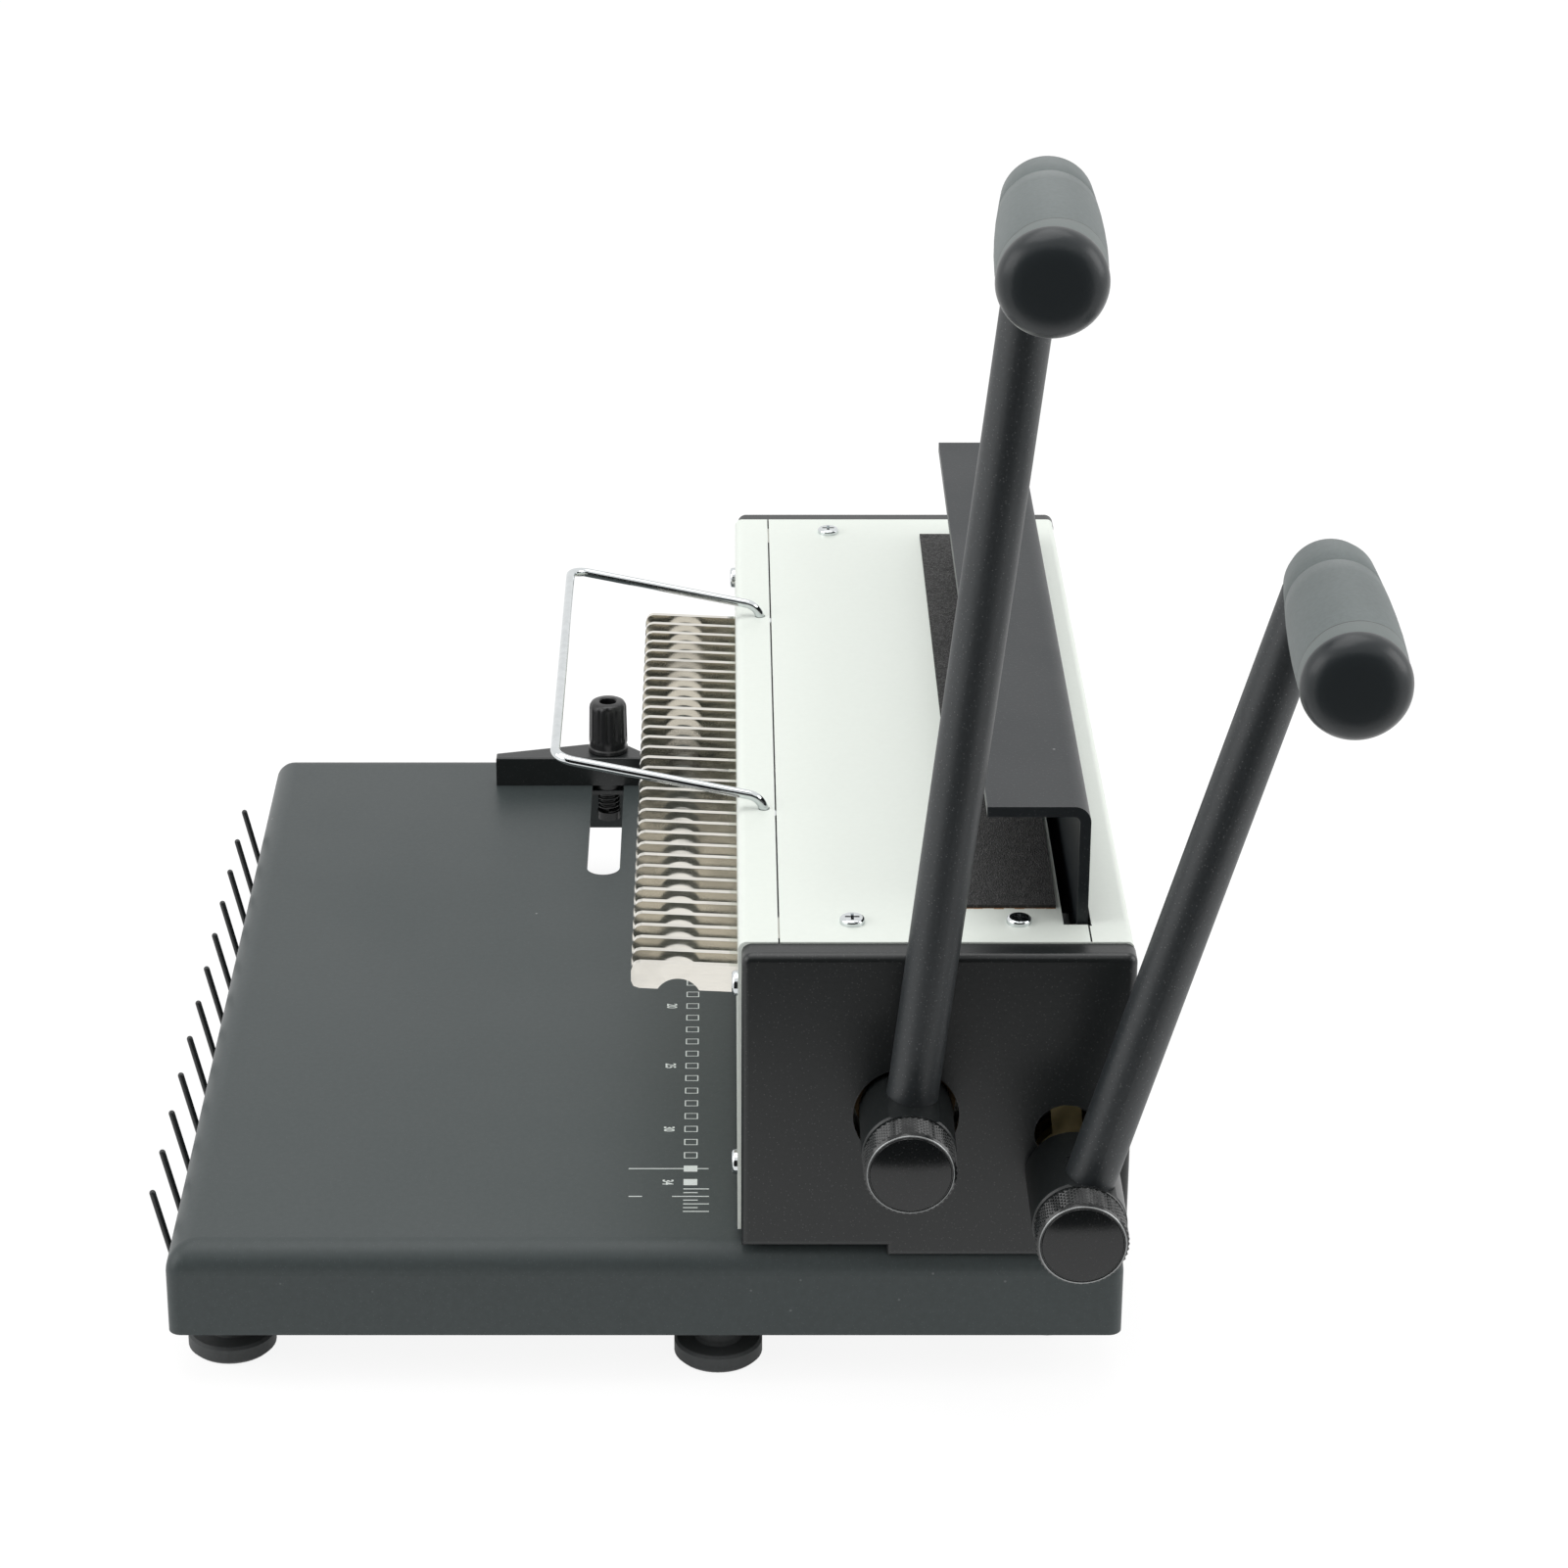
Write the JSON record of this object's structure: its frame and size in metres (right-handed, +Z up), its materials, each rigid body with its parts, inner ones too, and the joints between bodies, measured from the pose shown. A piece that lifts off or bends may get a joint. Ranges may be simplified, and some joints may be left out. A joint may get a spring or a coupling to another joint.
{
  "type": "wire binding punch",
  "caption": "Desktop punch and closer for wire binding: flat base, white housing with a row of loop holders, a closing jaw on top and two hand levers at the right end",
  "frame": {"origin": "on the desk surface, under the middle of the whole machine's bounding box, levers included", "axes": "+X along the row of punched holes towards the levers, +Y from the operator to the rear, +Z up"},
  "size_m": [0.477, 0.353, 0.3788],
  "materials": {
    "charcoal_paint": "dark charcoal satin powder coat",
    "white_paint": "slightly greenish white satin paint",
    "black_paint": "black satin powder coat",
    "rubber": "black moulded rubber",
    "grip_rubber": "matte black rubber",
    "chrome": "bright chrome plate",
    "nickel": "bright nickel plate",
    "steel": "ground steel",
    "zinc": "zinc plate",
    "yellow_zinc": "yellow zinc plate",
    "bronze": "plain bearing bronze",
    "spring_steel": "spring steel wire",
    "grit": "black grit on a tan backing",
    "black_plastic": "black moulded plastic"
  },
  "bodies": {
    "machine": {"anti_slip_strip": "grit", "anvil_bar": "steel", "base_pan": "charcoal_paint", "beam_posts": "steel", "closing_bushes": "bronze", "closing_return_springs": "spring_steel", "comb_carrier": "steel", "comb_plates": "nickel", "cover_screws": "chrome", "die_block": "steel", "die_screws": "zinc", "foot_posts": "zinc", "foot_screws": "zinc", "frame_screws": "zinc", "front_cover": "white_paint", "guide_block": "steel", "hanging_pins": "black_paint", "jaw_guide_rods": "steel", "pin_strip": "zinc", "punch_bushes": "bronze", "punch_return_springs": "spring_steel", "rubber_feet": "rubber", "side_cover_left": "black_paint", "side_cover_nuts": "zinc", "side_cover_right": "black_paint", "side_plate_left": "zinc", "side_plate_right": "zinc", "stop_bar": "steel", "top_cover": "white_paint", "wire_bail": "chrome"},
    "punch_lever": {"punch_shaft": "steel", "punch_lever_hub": "black_paint", "punch_lever_tube": "black_paint", "punch_grip_core": "steel", "punch_grip_sleeve": "grip_rubber", "punch_grip_collar": "grip_rubber", "punch_cams": "steel"},
    "punch_ram": {"punch_beam": "steel", "pin_retainer": "steel", "punch_pins": "steel"},
    "closing_lever": {"closing_shaft": "steel", "closing_lever_hub": "black_paint", "closing_lever_tube": "black_paint", "closing_grip_core": "steel", "closing_grip_sleeve": "grip_rubber", "closing_grip_collar": "grip_rubber", "closing_cranks": "zinc", "stop_arm": "yellow_zinc"},
    "jaw": {"closing_jaw": "black_paint", "jaw_slider_right": "steel", "jaw_slider_left": "steel", "jaw_screws": "zinc"},
    "punch_knob": {"punch_clamp_knob": "black_plastic"},
    "closing_knob": {"closing_clamp_knob": "black_plastic"},
    "edge_guide": {"edge_guide_bar": "black_paint", "edge_guide_stud": "black_paint", "edge_guide_washer": "black_paint", "edge_guide_spring": "black_paint"},
    "guide_knob": {"edge_guide_knob": "black_plastic"},
    "tray": {"chip_tray": "charcoal_paint"}
  },
  "joints": [
    {"name": "punch_lever_swing", "type": "hinge", "parent": "machine", "child": "punch_lever", "pos_m": [0, 0.05084, 0.0914], "axis": [1, 0, 0], "range_deg": [0, 65], "stiffness_Nm_per_rad": 1.15, "springref_deg": -5.73},
    {"name": "punch_ram_slide", "type": "slide", "parent": "machine", "child": "punch_ram", "axis": [0, 0, -1], "range_m": [0, 0.01079], "deforming": ["punch_return_springs"]},
    {"name": "closing_lever_swing", "type": "hinge", "parent": "machine", "child": "closing_lever", "pos_m": [0, 0.09974, 0.0737], "axis": [1, 0, 0], "range_deg": [0, 56], "stiffness_Nm_per_rad": 4.3, "springref_deg": -14.32},
    {"name": "jaw_slide", "type": "slide", "parent": "machine", "child": "jaw", "axis": [0, 0, -1], "range_m": [0, 0.02715], "deforming": ["closing_return_springs"]},
    {"name": "punch_knob_turn", "type": "hinge", "parent": "punch_lever", "child": "punch_knob", "pos_m": [0.16479, 0.05084, 0.0914], "axis": [1, 0, 0], "range_deg": [0, 360]},
    {"name": "closing_knob_turn", "type": "hinge", "parent": "closing_lever", "child": "closing_knob", "pos_m": [0.17379, 0.09974, 0.0737], "axis": [1, 0, 0], "range_deg": [0, 360]},
    {"name": "edge_guide_slide", "type": "slide", "parent": "machine", "child": "edge_guide", "axis": [1, 0, 0], "range_m": [-0.0017, 0.0762]},
    {"name": "guide_knob_turn", "type": "hinge", "parent": "edge_guide", "child": "guide_knob", "pos_m": [-0.21141, -0.04471, 0.06], "axis": [0, 0, 1], "range_deg": [0, 360]},
    {"name": "tray_slide", "type": "slide", "parent": "machine", "child": "tray", "axis": [-1, 0, 0], "range_m": [0, 0.3]}
  ],
  "couplings": [
    {"joint": "punch_ram_slide", "follows": "punch_lever_swing", "m_per_rad": 0.0095},
    {"joint": "jaw_slide", "follows": "closing_lever_swing", "m_per_rad": 0.02776}
  ]
}
